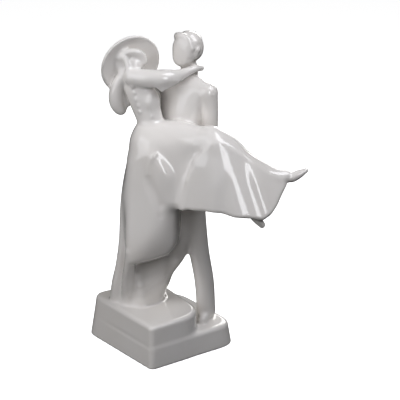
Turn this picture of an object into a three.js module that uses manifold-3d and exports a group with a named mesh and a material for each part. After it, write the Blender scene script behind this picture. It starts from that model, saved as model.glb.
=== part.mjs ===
// A glazed porcelain couple, one casting: a man carries a woman in a wide hat and a long gown,
// on a plinth of two steps. Millimetres. +X is to the right of the front view, +Y goes away from
// it and +Z is up. The origin lies in the underside of the plinth.
//
// Each form is a field: a function that says how far a point is outside (+) or inside (-) of it.
// Fields flow into each other as soft clay does, and the surface is where the sum is zero.
import * as THREE from 'three';
import { mergeVertices } from 'three/addons/utils/BufferGeometryUtils.js';
import Module from 'manifold-3d';

// Driving dimensions
// Widths of the soft transition between two forms
const CRISP = 1.5;
const FIRM = 2.5;
const SOFT = 4;
const CLAY = 6;
const FLOWING = 9;
const GRID_PITCH = 2.2; // spacing of the samples that find the surface
const FACE_COUNT = 9600; // triangles of the finished solid

const PLINTH = {
  lowerTop: 22,
  upperTop: 41.5,
  below: 4, // stretch under the floor plane, cut off flat at the end
  edgeRound: 3.4,
  lowerCorners: [ // x, y, rounding, and how far the corner leans in at the top of its step
    [-6.5, -62, 5, 0.5],
    [74, -6, 20, 4],
    [12, 74, 26, 4],
    [-70, 18.5, 13, 4],
  ],
  upperCorners: [
    [-7, -62.5, 5, 1],
    [43, -27, 27, 2],
    [-6, 54, 18, 4],
    [-74, 20, 13, 7.5],
  ],
};

const MAN = {
  bodyTurn: 40, // degrees that he is turned to the left of the viewer
  headTurn: 50,
  faceTurn: 36, // the blank front of his face turns less
  head: [26.2, 9, 281],
  neck: [27.5, 11, 262],
  neckFoot: [26, 11, 248],
  neckRadius: 7.6,
  leftShoulder: [44, -4, 243.5],
  leftElbow: [46, -3, 206],
  leftHand: [53, -34, 190],
  rightShoulder: [8, 25, 243],
  rightElbow: [-12, 31, 222],
  rightHand: [-17, 4, 229],
  armRadius: 7.6,
  shoulderRadius: 8,
};

const WOMAN = {
  bodyTurn: -72, // she faces the man, to the right of the viewer
  headTurn: -30,
  head: [-20.5, -3, 270.5],
  neckTop: [-19.5, -3, 264],
  neckFoot: [-18, -5, 256],
  pelvis: [-3, -15, 200],
  hat: [-26, 3, 269], // middle of the brim
  brimRadius: 28,
  brimThickness: 3.2,
  brimCurl: 4,
  crownRadius: 14,
  crownHeight: 15,
  ribbonHeight: 6,
  crownAxis: [-0.453, 0.848, 0.277], // the way the crown of the hat points
};

// Fields

const mix = (a, b, t) => a + (b - a) * t;
const clamp = (t, low, high) => Math.min(Math.max(t, low), high);
const radians = THREE.MathUtils.degToRad;

// Soft union: both fields where they are far apart, one flowing surface where they are near.
function soften(a, b, width) {
  const near = Math.max(width - Math.abs(a - b), 0) / width;
  return Math.min(a, b) - (near * near * width) / 4;
}

// Where two fields meet at an edge, rounded off.
function roundedCorner(a, b, round) {
  const corner = Math.hypot(Math.max(a + round, 0), Math.max(b + round, 0));
  return Math.min(Math.max(a, b) + round, 0) + corner - round;
}

const boxOf = (points, margin) => {
  const box = new THREE.Box3().setFromPoints(points.map((p) => new THREE.Vector3(...p)));
  return box.expandByScalar(margin);
};

// A smooth rod through some points, each given as [x, y, z, radius].
function limb(points, steps = 4) {
  const curve = new THREE.CatmullRomCurve3(points.map((p) => new THREE.Vector3(...p)), false, 'centripetal');
  const count = (points.length - 1) * steps;
  const radii = new THREE.SplineCurve(points.map((p, i) => new THREE.Vector2(i, p[3])));
  const rods = [];
  for (let i = 0; i < count; i += 1) {
    const [a, b] = [curve.getPoint(i / count), curve.getPoint((i + 1) / count)];
    const [ra, rb] = [radii.getPoint(i / count).y, radii.getPoint((i + 1) / count).y];
    const along = b.clone().sub(a);
    rods.push({ a, along, ra, grow: rb - ra, square: along.lengthSq() });
  }
  const largest = Math.max(...points.map((p) => p[3]));
  return {
    box: boxOf(points.map((p) => p.slice(0, 3)), largest + 3),
    at(x, y, z) {
      let best = Infinity;
      for (const rod of rods) {
        const [px, py, pz] = [x - rod.a.x, y - rod.a.y, z - rod.a.z];
        const t = clamp((px * rod.along.x + py * rod.along.y + pz * rod.along.z) / rod.square, 0, 1);
        const [dx, dy, dz] = [px - t * rod.along.x, py - t * rod.along.y, pz - t * rod.along.z];
        best = Math.min(best, Math.sqrt(dx * dx + dy * dy + dz * dz) - rod.ra - t * rod.grow);
      }
      return best;
    },
  };
}

// An egg with three half sizes: to its side, forward and up. It is turned about the vertical,
// then nods forward, then leans to its side.
function egg(centre, [side, forward, up], turn = 0, nod = 0, lean = 0) {
  const pose = new THREE.Matrix4().makeRotationZ(-radians(turn));
  pose.multiply(new THREE.Matrix4().makeRotationX(radians(nod)));
  pose.multiply(new THREE.Matrix4().makeRotationY(radians(lean)));
  const e = pose.elements;
  const [cx, cy, cz] = centre;
  return {
    box: boxOf([centre], Math.max(side, forward, up)),
    at(x, y, z) {
      const [dx, dy, dz] = [x - cx, y - cy, z - cz];
      const u = (dx * e[0] + dy * e[1] + dz * e[2]) / side;
      const v = (dx * e[4] + dy * e[5] + dz * e[6]) / forward;
      const w = (dx * e[8] + dy * e[9] + dz * e[10]) / up;
      const reach = Math.sqrt(u * u + v * v + w * w);
      const slope = Math.sqrt((u / side) ** 2 + (v / forward) ** 2 + (w / up) ** 2);
      return slope < 1e-6 ? -Math.min(side, forward, up) : (reach * (reach - 1)) / slope;
    },
  };
}

// A sheet of clay between three corners, each given as [x, y, z, half thickness].
function sheet(a, b, c) {
  const [va, vb, vc] = [a, b, c].map((p) => new THREE.Vector3(...p));
  const triangle = new THREE.Triangle(va, vb, vc);
  const [point, nearest, weights] = [new THREE.Vector3(), new THREE.Vector3(), new THREE.Vector3()];
  return {
    box: boxOf([a, b, c].map((p) => p.slice(0, 3)), Math.max(a[3], b[3], c[3])),
    at(x, y, z) {
      point.set(x, y, z);
      triangle.closestPointToPoint(point, nearest);
      triangle.getBarycoord(nearest, weights);
      return nearest.distanceTo(point) - (weights.x * a[3] + weights.y * b[3] + weights.z * c[3]);
    },
  };
}

// A body of round sections one over another, each [z, x, y, half width, half depth].
function stack(sections, turn = 0, capRound = 6) {
  const [sin, cos] = [Math.sin(radians(turn)), Math.cos(radians(turn))];
  const [bottom, top] = [sections[0][0], sections[sections.length - 1][0]];
  const slopes = sections.map((section, i) => {
    const [under, over] = [sections[Math.max(i - 1, 0)], sections[Math.min(i + 1, sections.length - 1)]];
    return section.map((value, k) => (over[k] - under[k]) / (over[0] - under[0]));
  });
  const sectionAt = (height) => {
    const z = clamp(height, bottom, top);
    let i = 0;
    while (i < sections.length - 2 && z > sections[i + 1][0]) i += 1;
    const span = sections[i + 1][0] - sections[i][0];
    const t = (z - sections[i][0]) / span;
    const ease = t * t * (3 - 2 * t);
    const [leave, arrive] = [span * t * (1 - t) ** 2, -span * t * t * (1 - t)];
    return sections[i].map((value, k) => (
      mix(value, sections[i + 1][k], ease) + leave * slopes[i][k] + arrive * slopes[i + 1][k]));
  };
  const corners = sections.flatMap(([z, x, y, w, d]) => {
    const r = Math.max(w, d);
    return [[x - r, y - r, z], [x + r, y + r, z]];
  });
  return {
    box: boxOf(corners, 1),
    sectionAt,
    at(x, y, z) {
      const [, cx, cy, width, depth] = sectionAt(z);
      const [dx, dy] = [x - cx, y - cy];
      const u = (dx * cos - dy * sin) / width;
      const v = (dx * sin + dy * cos) / depth;
      const reach = Math.hypot(u, v);
      const slope = Math.hypot(u / width, v / depth);
      const round = slope < 1e-6 ? -Math.min(width, depth) : (reach * (reach - 1)) / slope;
      return roundedCorner(round, Math.max(bottom - z, z - top), capRound);
    },
  };
}

// An outline with rounded corners, as short straight runs.
function roundedOutline(corners, steps = 7) {
  const points = [];
  corners.forEach(([x, y, round], i) => {
    const here = new THREE.Vector2(x, y);
    const [px, py] = corners[(i + corners.length - 1) % corners.length];
    const [nx, ny] = corners[(i + 1) % corners.length];
    const back = new THREE.Vector2(px, py).sub(here).normalize();
    const on = new THREE.Vector2(nx, ny).sub(here).normalize();
    const half = Math.acos(back.dot(on)) / 2;
    const reach = round / Math.tan(half);
    const curve = new THREE.QuadraticBezierCurve(
      here.clone().addScaledVector(back, reach), here, here.clone().addScaledVector(on, reach));
    points.push(...curve.getPoints(steps));
  });
  return points;
}

function outlineDistance(points, x, y) {
  let best = Infinity;
  let inside = false;
  for (let i = 0, j = points.length - 1; i < points.length; j = i, i += 1) {
    const [a, b] = [points[j], points[i]];
    const [ex, ey] = [b.x - a.x, b.y - a.y];
    const t = clamp(((x - a.x) * ex + (y - a.y) * ey) / (ex * ex + ey * ey), 0, 1);
    best = Math.min(best, Math.hypot(x - a.x - t * ex, y - a.y - t * ey));
    if ((a.y > y) !== (b.y > y) && x < a.x + ((y - a.y) * ex) / ey) inside = !inside;
  }
  return inside ? -best : best;
}

// One step of the plinth. Its outline shrinks a little towards the top.
function step(corners, top) {
  const { below, edgeRound } = PLINTH;
  const foot = roundedOutline(corners);
  const rim = roundedOutline(corners.map(([x, y, round, lean]) => {
    const shrink = 1 - lean / Math.hypot(x, y);
    return [x * shrink, y * shrink, round];
  }));
  const corner3d = corners.flatMap(([x, y]) => [[x, y, -below], [x, y, top]]);
  return {
    box: boxOf(corner3d, 0),
    at(x, y, z) {
      const rise = clamp(z / top, 0, 1);
      const side = mix(outlineDistance(foot, x, y), outlineDistance(rim, x, y), rise);
      return roundedCorner(side, Math.max(z - top, -below - z), edgeRound);
    },
  };
}

// A pleat in a hanging cloth. It grows from its start, given in x and z, over part of its way.
function pleat({ start, end, height, width }) {
  const growth = 0.6;
  const from = new THREE.Vector2(...start);
  const along = new THREE.Vector2(...end).sub(from);
  const square = along.lengthSq();
  return (x, z) => {
    const t = clamp(((x - from.x) * along.x + (z - from.y) * along.y) / square, 0, 1);
    const away = Math.hypot(x - from.x - t * along.x, z - from.y - t * along.y);
    const far = away / (width * mix(0.6, 1, t));
    return height * THREE.MathUtils.smoothstep(t, 0, growth) * Math.exp(-far * far);
  };
}

// A hanging cloth. Its outline is seen from the front, as rows of x, z and rounding. Its front
// lies behind each of some planes, given by three points each, which meet with a soft ridge.
function drape({ outline, planes, pleats = [], thick = 8, ridgeSoft = 7, edgeRound = 3.5 }) {
  const edge = roundedOutline(outline, 5);
  const folds = pleats.map(pleat);
  const sides = planes.map((points) => {
    const side = new THREE.Plane().setFromCoplanarPoints(...points.map((p) => new THREE.Vector3(...p)));
    return side.normal.y > 0 ? side.negate() : side;
  });
  const depths = planes.flat().map(([, y]) => y);
  const [nearest, farthest] = [Math.min(...depths), Math.max(...depths)];
  const point = new THREE.Vector3();
  const frontOf = (x, y, z) => {
    point.set(x, y, z);
    const levels = sides.map((side) => -side.distanceToPoint(point));
    const level = -levels.reduce((a, b) => soften(a, b, ridgeSoft));
    return folds.reduce((sum, fold) => sum - fold(x, z), level);
  };
  return {
    box: boxOf(outline.flatMap(([x, z]) => [[x, nearest - 4, z], [x, farthest + thick, z]]), 1),
    at(x, y, z) {
      const level = Math.abs(frontOf(x, y, z) + thick / 2) - thick / 2;
      return roundedCorner(outlineDistance(edge, x, z), level, edgeRound);
    },
  };
}

// A round plate across an axis, with rounded rims. It starts at a height along the axis, and
// curl bends its rim back.
function disc(centre, direction, [start, end], radius, round, curl = 0) {
  const axis = new THREE.Vector3(...direction).normalize();
  const [cx, cy, cz] = centre;
  const [middle, half] = [(start + end) / 2, (end - start) / 2];
  return {
    box: boxOf([centre], radius + Math.max(Math.abs(start), Math.abs(end))),
    at(x, y, z) {
      const [dx, dy, dz] = [x - cx, y - cy, z - cz];
      const height = dx * axis.x + dy * axis.y + dz * axis.z;
      const out = Math.sqrt(Math.max(dx * dx + dy * dy + dz * dz - height * height, 0));
      const level = Math.abs(height - middle + curl * (out / radius) ** 2) - half;
      return roundedCorner(level, out - radius, round);
    },
  };
}

// Joins forms one after another; each entry is a field, or a field with its own transition.
function join(...entries) {
  const parts = entries.map((entry) => (Array.isArray(entry) ? entry : [entry, CLAY]));
  const box = new THREE.Box3();
  parts.forEach(([part]) => box.union(part.box));
  const margin = 12;
  const bounds = parts.map(([part]) => part.box.clone().expandByScalar(margin));
  return {
    box,
    at(x, y, z) {
      let sum = 2 * margin;
      parts.forEach(([part, width], i) => {
        const { min, max } = bounds[i];
        if (x < min.x || x > max.x || y < min.y || y > max.y || z < min.z || z > max.z) return;
        sum = soften(sum, part.at(x, y, z), width);
      });
      return sum;
    },
  };
}

// Strokes press a groove (depth over 0) or raise a ridge (depth under 0) along a line.
function stroked(field, ...strokes) {
  const lines = strokes.map(({ points, width, depth }) => (
    { path: limb(points.map((p) => [...p, 0])), width, depth }));
  return {
    box: field.box,
    at(x, y, z) {
      let sum = field.at(x, y, z);
      for (const { path, width, depth } of lines) {
        const far = path.at(x, y, z) / width;
        if (far < 3) sum += depth * Math.exp(-far * far);
      }
      return sum;
    },
  };
}

// The part of a form on the back side of a plane, given by a point and the way it faces.
function behind(form, place, direction, round) {
  const [point, facing] = [new THREE.Vector3(...place), new THREE.Vector3(...direction).normalize()];
  const plane = new THREE.Plane().setFromNormalAndCoplanarPoint(facing, point);
  const sample = new THREE.Vector3();
  return {
    box: form.box,
    at: (x, y, z) => roundedCorner(form.at(x, y, z), plane.distanceToPoint(sample.set(x, y, z)), round),
  };
}

// A rod of one thickness through some points.
const cord = (points, radius) => limb(points.map((point) => [...point, radius]));

// A point beside, in front of and above another, for a body that is turned.
const offset = ([x, y, z], turn, side, forward, up) => {
  const [sin, cos] = [Math.sin(radians(turn)), Math.cos(radians(turn))];
  return [x + side * cos - forward * sin, y - side * sin - forward * cos, z + up];
};

// The plinth

function plinth() {
  return join(
    step(PLINTH.lowerCorners, PLINTH.lowerTop),
    [step(PLINTH.upperCorners, PLINTH.upperTop), FIRM],
  );
}

// The man

function manHead() {
  const { head, headTurn, faceTurn, neck, neckFoot, neckRadius } = MAN;
  const at = (side, forward, up) => offset(head, headTurn, side, forward, up);
  const away = (place) => place.map((value, i) => value - head[i]);
  const [ahead, facing] = [away(at(0, 1, -0.25)), away(offset(head, faceTurn, 0, 1, 0))];
  const [earOut, earBack, earDown] = [10.6, -0.8, -2.6];
  const skull = egg(at(0, 1.2, 1.5), [10.3, 12.4, 12.4], headTurn);
  const jaw = egg(at(0, 3.4, -4), [9.6, 10.4, 11.6], headTurn);
  const chin = egg(at(-1.5, 7, -9.6), [6.4, 6, 5.4], headTurn);
  const hair = join(
    egg(at(0, -1.5, 2.6), [11.4, 13.2, 12.6], headTurn),
    [egg(at(0, -5, -3), [9.8, 9, 9.5], headTurn), SOFT],
  );
  const hairline = [at(-9, 4.5, 6), at(-7, 7, 10.4), at(-3, 8.2, 12.2), at(2.5, 7.4, 12), at(6.6, 6, 9.6),
    at(9.2, 4.6, 5.5), at(10.3, 3.4, 1.5)];
  const ears = [-earOut, earOut].map((out) => egg(at(out, earBack, earDown), [1.7, 2.6, 3.8], headTurn));
  const [blankFace, faceRound] = [offset(head, faceTurn, 0, 11.2, -3), 3];
  return join(
    behind(join(skull, jaw, chin), blankFace, facing, faceRound),
    [behind(hair, at(0, 3, 0), ahead, CRISP), CRISP],
    [cord(hairline, 2.3), FIRM],
    ...ears.map((ear) => [ear, CRISP]),
    [limb([[...neck, neckRadius], [...neckFoot, neckRadius + 1.5]]), SOFT],
  );
}

function manTorso() {
  const { bodyTurn, leftShoulder, neckFoot, rightShoulder, shoulderRadius } = MAN;
  const shoulders = [leftShoulder, neckFoot, rightShoulder];
  return join(
    stack([
      [158, 17, 6, 22, 15],
      [176, 17, 6, 23, 16],
      [200, 18, 6, 19.5, 14],
      [226, 21, 7, 22, 15.5],
      [242, 23, 9, 23, 14.5],
      [255, 25, 10.5, 15, 10],
    ], bodyTurn, 7),
    [cord(shoulders, shoulderRadius), FLOWING],
  );
}

function manLegs() {
  const left = [[26, 1, 170, 13.5], [31, 1, 131, 11], [36, 1, 92, 9.3], [41, 3, 60, 9], [42.7, 4, 30, 8.8]];
  const right = [[12, 8, 168, 13], [16, 3, 130, 11.5], [17, 1, 98, 10.5], [1, 7, 68, 9.5], [-12, 12, 44, 9]];
  const leftShoe = [[45, 11, 26.5, 5.6], [42.6, 3, 27, 6.6], [39.5, -8, 25, 4]];
  const rightShoe = [[-7, 20, 46.5, 5], [-13, 10, 47, 6], [-20, 2, 45, 4]];
  return join(limb(left), limb(right), [limb(leftShoe), CRISP], [limb(rightShoe), CRISP]);
}

function manArms() {
  const { leftShoulder, leftElbow, leftHand, rightShoulder, rightElbow, rightHand, armRadius } = MAN;
  const left = [[...leftShoulder, armRadius + 1], [45.5, -4, 226, armRadius], [...leftElbow, 7.2],
    [49.5, -20, 196, 6.4], [...leftHand, 5]];
  const right = [[...rightShoulder, armRadius + 1], [...rightElbow, 7], [-16, 18, 225, 6.2],
    [...rightHand, 4.6]];
  const rightPalm = egg([-17, -4, 230], [3.6, 8, 5.4], 0, 0, 18);
  return join(limb(left), [limb(right), SOFT], [rightPalm, FIRM]);
}

const man = () => join(manTorso(), manLegs(), [manArms(), FIRM], [manHead(), SOFT]);

// The woman

function hat() {
  const { hat: middle, crownAxis, brimRadius, brimThickness, brimCurl } = WOMAN;
  const { crownRadius, crownHeight, ribbonHeight } = WOMAN;
  const half = brimThickness / 2;
  return join(
    disc(middle, crownAxis, [-half, half], brimRadius, half, brimCurl),
    [disc(middle, crownAxis, [-2, crownHeight], crownRadius, 8), FIRM],
    [disc(middle, crownAxis, [-1, ribbonHeight], crownRadius + 0.9, 1), CRISP],
  );
}

// Loose hair that falls behind her shoulder: a rolled outer edge around a hollow.
function hairLock() {
  const edge = [[-29, -7, 263, 4], [-35, -7, 252, 5.4], [-37.4, -6, 241, 6.2], [-36.4, -5, 232.5, 5.8],
    [-33, -3.5, 227.4, 4.4], [-30, -1, 230, 2.8]];
  const inner = [[-27, -2, 260, 3.6], [-37, -1, 246, 3.6], [-33, -1, 231, 3.6], [-20, 0, 237, 3.6]];
  const [top, outside, foot, inside] = inner;
  return join(limb(edge), [sheet(top, outside, foot), FIRM], [sheet(top, foot, inside), CRISP]);
}

function womanHead() {
  const { head, headTurn, neckTop, neckFoot, hat: middle, crownAxis } = WOMAN;
  const scalp = middle.map((value, i) => value + crownAxis[i]);
  const band = [[-31.5, -6, 275.5], [-28.5, -8, 279], [-23.7, -9.5, 281.3], [-17.5, -9.5, 281],
    [-13, -8, 277.5], [-11.4, -7, 272.5]];
  const strand = [[-33, -7, 275.5], [-28.6, -10.5, 275.8], [-26.6, -12, 271], [-25.8, -13, 266.5],
    [-27, -12, 261]];
  return join(
    egg(head, [9.2, 9, 10.4], headTurn, -10, 24),
    [limb([[...neckTop, 5.2], [...neckFoot, 5.8]]), SOFT],
    [egg(scalp, [12.6, 11.5, 9.6], headTurn), FIRM],
    [hat(), FIRM],
    [cord([[-31, -4, 275], [-31, -5, 266], [-28, -7, 257]], 5), SOFT],
    [cord(band, 2.8), SOFT],
    [cord(strand, 2), FIRM],
    [hairLock(), FIRM],
  );
}

// A row of small beads down the back of her dress.
function lacing() {
  const [count, size] = [5, [1.5, 1.5, 2]];
  const [top, foot] = [[-21.6, -16.5, 252], [-15.5, -18.5, 230]];
  return Array.from({ length: count }, (_, i) => (
    egg(top.map((value, axis) => mix(value, foot[axis], i / (count - 1))), size)));
}

function womanTorso() {
  const bust = [[-6, -13, 239], [-4.5, -2, 239]];
  return join(
    stack([
      [206, -5, -14, 14, 13],
      [216, -6, -11, 12, 11.5],
      [229, -10, -9, 13, 11],
      [241, -13.5, -8, 14.5, 11.5],
      [252, -17.5, -7, 13.5, 9.5],
      [260, -19.5, -6, 8, 6.5],
    ], WOMAN.bodyTurn + 90, 5),
    ...bust.map((place) => egg(place, [6.5, 6.5, 7])),
    ...lacing().map((bead) => [bead, CRISP]),
  );
}

function womanArms() {
  const near = [[-21.5, -12, 259.5, 7.8], [-8, -17, 259.5, 8], [8, -17, 260, 7.4], [18, -11, 260.5, 5.4],
    [26, -5, 262.6, 3.9], [34, 1, 264.4, 3.2], [38, 4, 263.8, 2.6]];
  const far = [[-17, 5, 252, 7], [-4, 14, 248, 6.6], [8, 22, 247, 6], [20, 25, 250, 5], [30, 19, 254, 4]];
  const sleeveEdge = sheet([0, -21, 256, 3], [4, -21, 250.5, 2], [16, -16, 258, 3]);
  return join(limb(near), [limb(far), FIRM], [sleeveEdge, FIRM]);
}

const woman = () => join(womanTorso(), [womanArms(), FIRM], [womanHead(), FIRM]);

// The gown

// Folds that fan out from her hip to the hem, on the side away from the front view.
function backFolds(body) {
  const [top, foot, count, firstAngle, lastAngle] = [178, 44, 6, 10, 165];
  const heights = [0, 0.35, 0.7, 1].map((t) => mix(top, foot, t));
  return Array.from({ length: count }, (_, i) => {
    const angle = radians(mix(firstAngle, lastAngle, i / (count - 1)));
    const points = heights.map((z) => {
      const [, x, y, width, depth] = body.sectionAt(z);
      return [x + width * Math.cos(angle), y + depth * Math.sin(angle), z];
    });
    return { points, width: 4.5, depth: 2.6 };
  });
}

function gownTrunk() {
  const body = stack([
    [36, -20.5, 10, 24, 25],
    [46, -20, 9, 24, 23.5],
    [60, -15.5, 6, 25, 19.5],
    [78, -12.5, 3, 25.5, 17],
    [96, -11, -1, 25.5, 16],
    [112, -9.5, -6, 26, 16.5],
    [150, -6.5, -13, 26.5, 19],
    [180, 0, -17, 27, 21],
    [205, -3, -17, 20.5, 17],
    [218, -6, -11.5, 12, 11],
  ], 0, 4);
  return stroked(body, ...backFolds(body));
}

const hip = () => egg([11, -17, 182], [25, 17.5, 38], 0, 0, 14);

// The cloth over her hip, from the long fold to the curtain.
function panel() {
  const outline = [[-18, 192, 8], [-4, 149, 4], [23, 146, 2], [30, 180, 20], [44, 208, 8], [30, 213, 8],
    [8, 215, 8], [-14, 206, 8]];
  const lower = [[-10, -36.5, 180], [2, -41, 150], [42, -45, 204]];
  const upper = [[-18, -26, 205], [12, -29, 219], [12, -41, 190]];
  return drape({ outline, planes: [lower, upper], thick: 22, ridgeSoft: 24, edgeRound: 8 });
}

// The long fold that hangs in front. Its front is lit, its left side turns back a little, and it
// turns under to the right and at its lower end.
function tongue() {
  const outline = [[-8, 205, 10], [-26, 190, 14], [-29.5, 150, 25], [-30.5, 112, 20], [-28.5, 90, 5],
    [-6, 94, 12], [10, 99, 10], [17.5, 110, 10], [19.5, 143, 8], [14, 178, 10]];
  const front = [[-29, -37, 130], [1.7, -43.5, 152], [-22, -41, 98]];
  const side = [[-13.5, -42.5, 163], [-24.5, -42, 103], [-31, -33, 130]];
  const under = [[1, -44.7, 136], [-0.5, -44.7, 122], [18.3, -33, 128]];
  const below = [[-4, -43.9, 115], [-25.5, -40.2, 97], [-4, -34, 93]];
  return drape({ outline, planes: [front, side, under, below], thick: 30, edgeRound: 6 });
}

// The cloth that falls from her knees and flares a little to the hem.
function curtain() {
  const outline = [[20, 147, 2], [41, 148.6, 12], [55, 148, 12], [66, 144.8, 10], [81, 143.6, 8],
    [92, 141, 2.5], [99, 145.6, 10], [105, 152.5, 12], [109.5, 161, 12], [113.5, 168, 3],
    [111, 176, 3], [98, 182, 8], [75, 199, 10], [54, 213, 8], [45, 210, 6], [31, 195, 10], [24, 175, 20]];
  const [ridgeTop, ridgeFoot] = [[48, -49, 212], [73, -61, 144]];
  const planes = [[[20, -46, 150], ridgeTop, ridgeFoot], [ridgeFoot, ridgeTop, [112, -38, 170]]];
  const pleats = [
    { start: [50, 200], end: [48, 147], height: 1.4, width: 9 },
    { start: [76, 206], end: [98, 148], height: 3, width: 8 },
    { start: [58, 190], end: [60, 146], height: -1.2, width: 7 },
  ];
  return drape({ outline, planes, pleats, thick: 7, ridgeSoft: 9 });
}

// The cloth that falls behind the long fold, down to the plinth on the left.
function gownTrain() {
  const back = [[-21, -12, 190, 5], [-27, -12, 164, 5], [-30.5, -12, 138, 4.6], [-32.5, -10, 108, 4.6],
    [-35.5, -6, 80, 5.6], [-38.5, -2, 60, 7], [-40, 3, 40, 8]];
  const front = [[-26, -33, 104, 4], [-27, -27, 88, 5], [-28.5, -19, 74, 6], [-29.5, -12, 58, 6.5],
    [-30, -6, 44, 6.5]];
  return join(limb(back), [limb(front), SOFT]);
}

// Her thighs, and her farther leg under the cloth.
// The foot of the gown: a soft wedge whose ridge faces the viewer.
function hem() {
  const outline = [[-38, 36, 4], [1, 36, 4], [4, 66, 10], [6, 92, 6], [-26, 98, 6], [-34, 66, 10]];
  const [ridgeTop, ridgeFoot] = [[-23, -26, 94], [-16, -17, 42]];
  const left = [[-43, 7, 42], ridgeTop, ridgeFoot];
  const right = [ridgeFoot, ridgeTop, [0, -2, 42]];
  return drape({ outline, planes: [left, right], thick: 22, edgeRound: 6 });
}

function lap() {
  const thighs = [[...WOMAN.pelvis, 18.5], [22, -19, 202.5, 17], [46, -30, 206, 13]];
  const farShin = [[48, -32, 206, 13.2], [60, -32, 202.5, 11], [73, -32, 192, 8.6], [88, -31, 183, 7],
    [102, -31, 177, 5.2], [113, -31, 175.5, 4.2]];
  return join(limb(thighs), limb(farShin));
}

function shoes() {
  const far = [[113, -31, 175.5, 4], [117, -31, 173.5, 4.4], [124, -31, 176.6, 3.8], [130, -31, 180, 2.2]];
  const near = [[83, -50, 146, 4], [87.5, -48, 140, 3.9], [91.5, -47, 135, 3]];
  return join(limb(far), [limb(near), FIRM]);
}

// Creases and soft ridges pressed into the cloth.
function gownStrokes() {
  const hipCrease = [[-13, -45, 186], [-7, -42, 170], [-2.6, -43, 161.5], [1.7, -44, 152]];
  const hook = [[1, -44.5, 153], [2.5, -44, 141]];
  const kneeValley = [[48, -55, 213], [37, -48, 201], [30, -46, 193], [25.6, -46, 173.5], [22, -49, 150]];
  const swags = [[[-20, -21, 63], [-10, -15, 66], [3, -9, 70]],
    [[-18, -19, 54], [-8, -12, 58], [4, -5, 63]]];
  return [
    { points: hipCrease, width: 4, depth: 2.6 },
    { points: hook, width: 2, depth: 2.5 },
    { points: kneeValley, width: 7, depth: 1.8 },
    ...swags.map((points) => ({ points, width: 2.4, depth: -1 })),
  ];
}

function gown() {
  const cloth = join(
    gownTrunk(),
    hem(),
    [lap(), FLOWING],
    curtain(),
    [hip(), FLOWING],
    [panel(), FLOWING],
    [tongue(), CLAY],
    [gownTrain(), FIRM],
    [shoes(), FIRM],
  );
  return stroked(cloth, ...gownStrokes());
}

const figure = join(plinth(), [man(), FIRM], [woman(), FIRM], [gown(), FIRM]);

// The skin: the zero surface of the field, as triangles

// Moves a point onto the surface, along the steepest way, by at most half a grid step.
function settled(field, [x, y, z], pitch) {
  const probe = 0.2;
  const here = field.at(x, y, z);
  const slope = [
    field.at(x + probe, y, z) - field.at(x - probe, y, z),
    field.at(x, y + probe, z) - field.at(x, y - probe, z),
    field.at(x, y, z + probe) - field.at(x, y, z - probe),
  ].map((difference) => difference / (2 * probe));
  const steep = Math.hypot(...slope);
  const move = clamp(here / steep, -pitch / 2, pitch / 2) / steep;
  return [x - slope[0] * move, y - slope[1] * move, z - slope[2] * move];
}

// Samples the field on a grid, then walks the six tetrahedra of each cell, so that the skin
// is closed everywhere.
function skin(field, pitch) {
  const low = field.box.min.clone().subScalar(2 * pitch);
  const size = field.box.max.clone().sub(low).divideScalar(pitch);
  const [nx, ny, nz] = [Math.ceil(size.x) + 3, Math.ceil(size.y) + 3, Math.ceil(size.z) + 3];
  const index = (i, j, k) => (k * ny + j) * nx + i;
  const value = new Float64Array(nx * ny * nz);
  for (let k = 0; k < nz; k += 1) {
    for (let j = 0; j < ny; j += 1) {
      for (let i = 0; i < nx; i += 1) {
        value[index(i, j, k)] = field.at(low.x + i * pitch, low.y + j * pitch, low.z + k * pitch);
      }
    }
  }
  const axes = [1, nx, nx * ny];
  const orders = [[0, 1, 2], [1, 2, 0], [2, 0, 1], [0, 2, 1], [2, 1, 0], [1, 0, 2]]; // first three are even
  const points = [];
  const faces = [];
  const known = new Map();
  const place = (n) => [n % nx, Math.floor(n / nx) % ny, Math.floor(n / (nx * ny))];
  const crossing = (a, b) => {
    const [first, second] = a < b ? [a, b] : [b, a];
    const key = first * 2 ** 22 + (second - first);
    if (!known.has(key)) {
      const t = clamp(value[first] / (value[first] - value[second]), 0.03, 0.97);
      const [p, q] = [place(first), place(second)];
      points.push(p.map((v, axis) => low.getComponent(axis) + pitch * mix(v, q[axis], t)));
      known.set(key, points.length - 1);
    }
    return known.get(key);
  };
  for (let k = 0; k < nz - 1; k += 1) {
    for (let j = 0; j < ny - 1; j += 1) {
      for (let i = 0; i < nx - 1; i += 1) {
        const start = index(i, j, k);
        const opposite = start + axes[0] + axes[1] + axes[2];
        const corners = [start, start + 1, start + nx, start + nx + 1,
          opposite - nx - 1, opposite - nx, opposite - 1, opposite];
        const inside = corners.filter((n) => value[n] < 0).length;
        if (inside === 0 || inside === 8) continue;
        orders.forEach(([a, b], order) => {
          const tet = [start, start + axes[a], start + axes[a] + axes[b], opposite];
          const ins = [0, 1, 2, 3].filter((n) => value[tet[n]] < 0);
          const outs = [0, 1, 2, 3].filter((n) => value[tet[n]] >= 0);
          if (!ins.length || !outs.length) return;
          const sorted = [...ins, ...outs];
          let swaps = 0;
          for (let m = 0; m < 4; m += 1) {
            for (let n = m + 1; n < 4; n += 1) if (sorted[m] > sorted[n]) swaps += 1;
          }
          const odd = (swaps % 2 === 1) !== (order > 2);
          const [p, q, r, s] = sorted.map((n) => tet[n]);
          let ring;
          if (ins.length === 1) ring = [crossing(p, q), crossing(p, r), crossing(p, s)];
          if (ins.length === 3) ring = [crossing(s, p), crossing(s, q), crossing(s, r)];
          if (ins.length === 2) ring = [crossing(p, r), crossing(p, s), crossing(q, s), crossing(q, r)];
          if (odd) ring.reverse();
          for (let m = 2; m < ring.length; m += 1) faces.push([ring[0], ring[m - 1], ring[m]]);
        });
      }
    }
  }
  return { points: points.map((point) => settled(field, point, pitch)), faces };
}

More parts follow.
